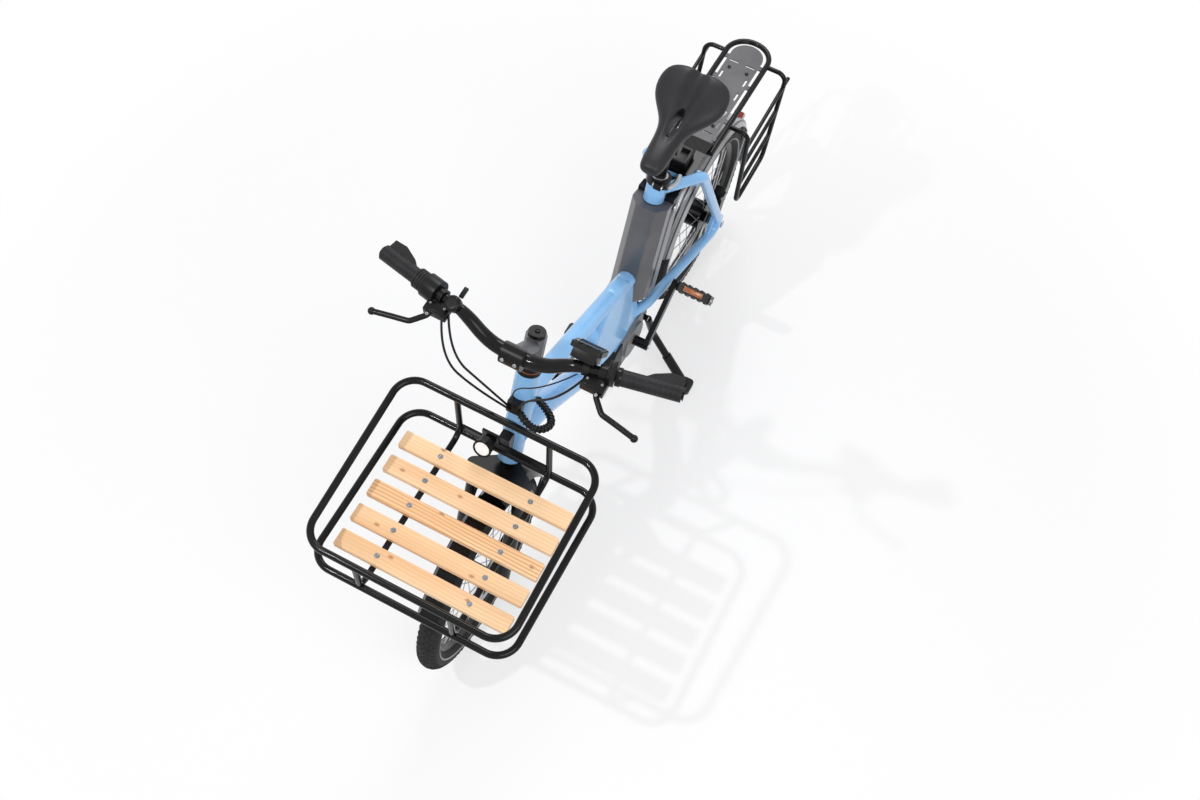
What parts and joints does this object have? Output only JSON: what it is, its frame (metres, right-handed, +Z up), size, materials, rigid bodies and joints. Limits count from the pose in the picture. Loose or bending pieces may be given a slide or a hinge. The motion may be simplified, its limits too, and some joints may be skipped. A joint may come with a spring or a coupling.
{
  "type": "electric cargo bike",
  "caption": "Compact electric cargo bike with a slatted front tray, rear rack with pannier frames and mid motor, parked on its two-legged stand.",
  "frame": {"origin": "on the floor under the middle of the bike's length and width", "axes": "+X forward, +Y the rider's left, +Z up"},
  "size_m": [1.7245, 0.677, 1.0906],
  "materials": {
    "frame_blue": "gloss sky-blue paint",
    "motor_grey": "satin grey housing",
    "battery_grey": "satin light-grey case",
    "cover_grey": "dark-grey metallic",
    "saddle_black": "smooth black cover",
    "stem_grey": "satin silver-grey",
    "grip_black": "soft ribbed rubber",
    "tyre": "black road tyre",
    "bright_steel": "brushed",
    "fender_silver": "satin silver-grey",
    "slat_wood": "oiled brown wood",
    "clear_lens": "clear lens",
    "guard_grey": "light-grey plastic",
    "red_lens": "red lens",
    "belt_rubber": "toothed belt, shown plain",
    "black_plastic": "satin black plastic",
    "black_metal": "satin black paint"
  },
  "bodies": {
    "frame": {"frame": "frame_blue", "motor": "motor_grey", "motor_skid": "guard_grey", "battery": "battery_grey", "battery_holder": "black_plastic", "battery_cover": "cover_grey", "saddle": "saddle_black", "seatpost": "black_metal", "seat_clamp": "black_metal", "rear_axle_bolt": "bright_steel", "rear_fender": "fender_silver", "rear_light": "red_lens", "belt": "belt_rubber", "belt_guard": "guard_grey", "tray_frame": "black_metal", "tray_slats": "slat_wood", "tray_bracket": "black_metal", "headlight": "black_plastic", "headlight_lens": "clear_lens", "rear_rack": "black_metal", "rack_plate": "black_metal", "pannier_frames": "black_metal", "stand_bracket": "black_metal", "rear_caliper": "black_metal", "cable_guide": "black_plastic", "cables": "black_plastic"},
    "steering": {"fork": "black_metal", "stem": "stem_grey", "bar_clamp": "black_metal", "stem_cap": "black_plastic", "handlebar": "black_metal", "grips": "grip_black", "brake_levers": "black_metal", "shifter": "grip_black", "display": "black_plastic", "bell": "black_metal", "front_fender": "black_plastic", "front_caliper": "black_metal"},
    "front_wheel": {"front_tyre": "tyre", "front_rim": "black_metal", "front_hub": "black_metal", "front_disc": "bright_steel"},
    "rear_wheel": {"rear_tyre": "tyre", "rear_rim": "black_metal", "rear_hub": "black_metal", "rear_disc": "bright_steel"},
    "cranks": {"cranks": "black_metal"},
    "pedal_left": {"pedal_left": "black_plastic"},
    "pedal_right": {"pedal_right": "black_plastic"},
    "stand": {"stand": "black_metal"}
  },
  "joints": [
    {"name": "steering", "type": "hinge", "parent": "frame", "child": "steering", "pos_m": [0.54731, 0, 0.24365], "axis": [-0.3338, 0, 0.9426], "range_deg": [-60, 60], "deforming": ["cables"]},
    {"name": "front_wheel", "type": "hinge", "parent": "steering", "child": "front_wheel", "pos_m": [0.58502, 0, 0.257], "axis": [0, 1, 0], "continuous": true},
    {"name": "rear_wheel", "type": "hinge", "parent": "frame", "child": "rear_wheel", "pos_m": [-0.58498, 0, 0.26], "axis": [0, 1, 0], "continuous": true},
    {"name": "cranks", "type": "hinge", "parent": "frame", "child": "cranks", "pos_m": [-0.12698, 0, 0.305], "axis": [0, 1, 0], "continuous": true},
    {"name": "pedal_left", "type": "hinge", "parent": "cranks", "child": "pedal_left", "pos_m": [-0.27567, 0.139, 0.38742], "axis": [0, 1, 0], "continuous": true},
    {"name": "pedal_right", "type": "hinge", "parent": "cranks", "child": "pedal_right", "pos_m": [0.0217, -0.139, 0.22258], "axis": [0, 1, 0], "continuous": true},
    {"name": "stand", "type": "hinge", "parent": "frame", "child": "stand", "pos_m": [-0.23998, 0, 0.232], "axis": [0, 1, 0], "range_deg": [0, 75]}
  ]
}
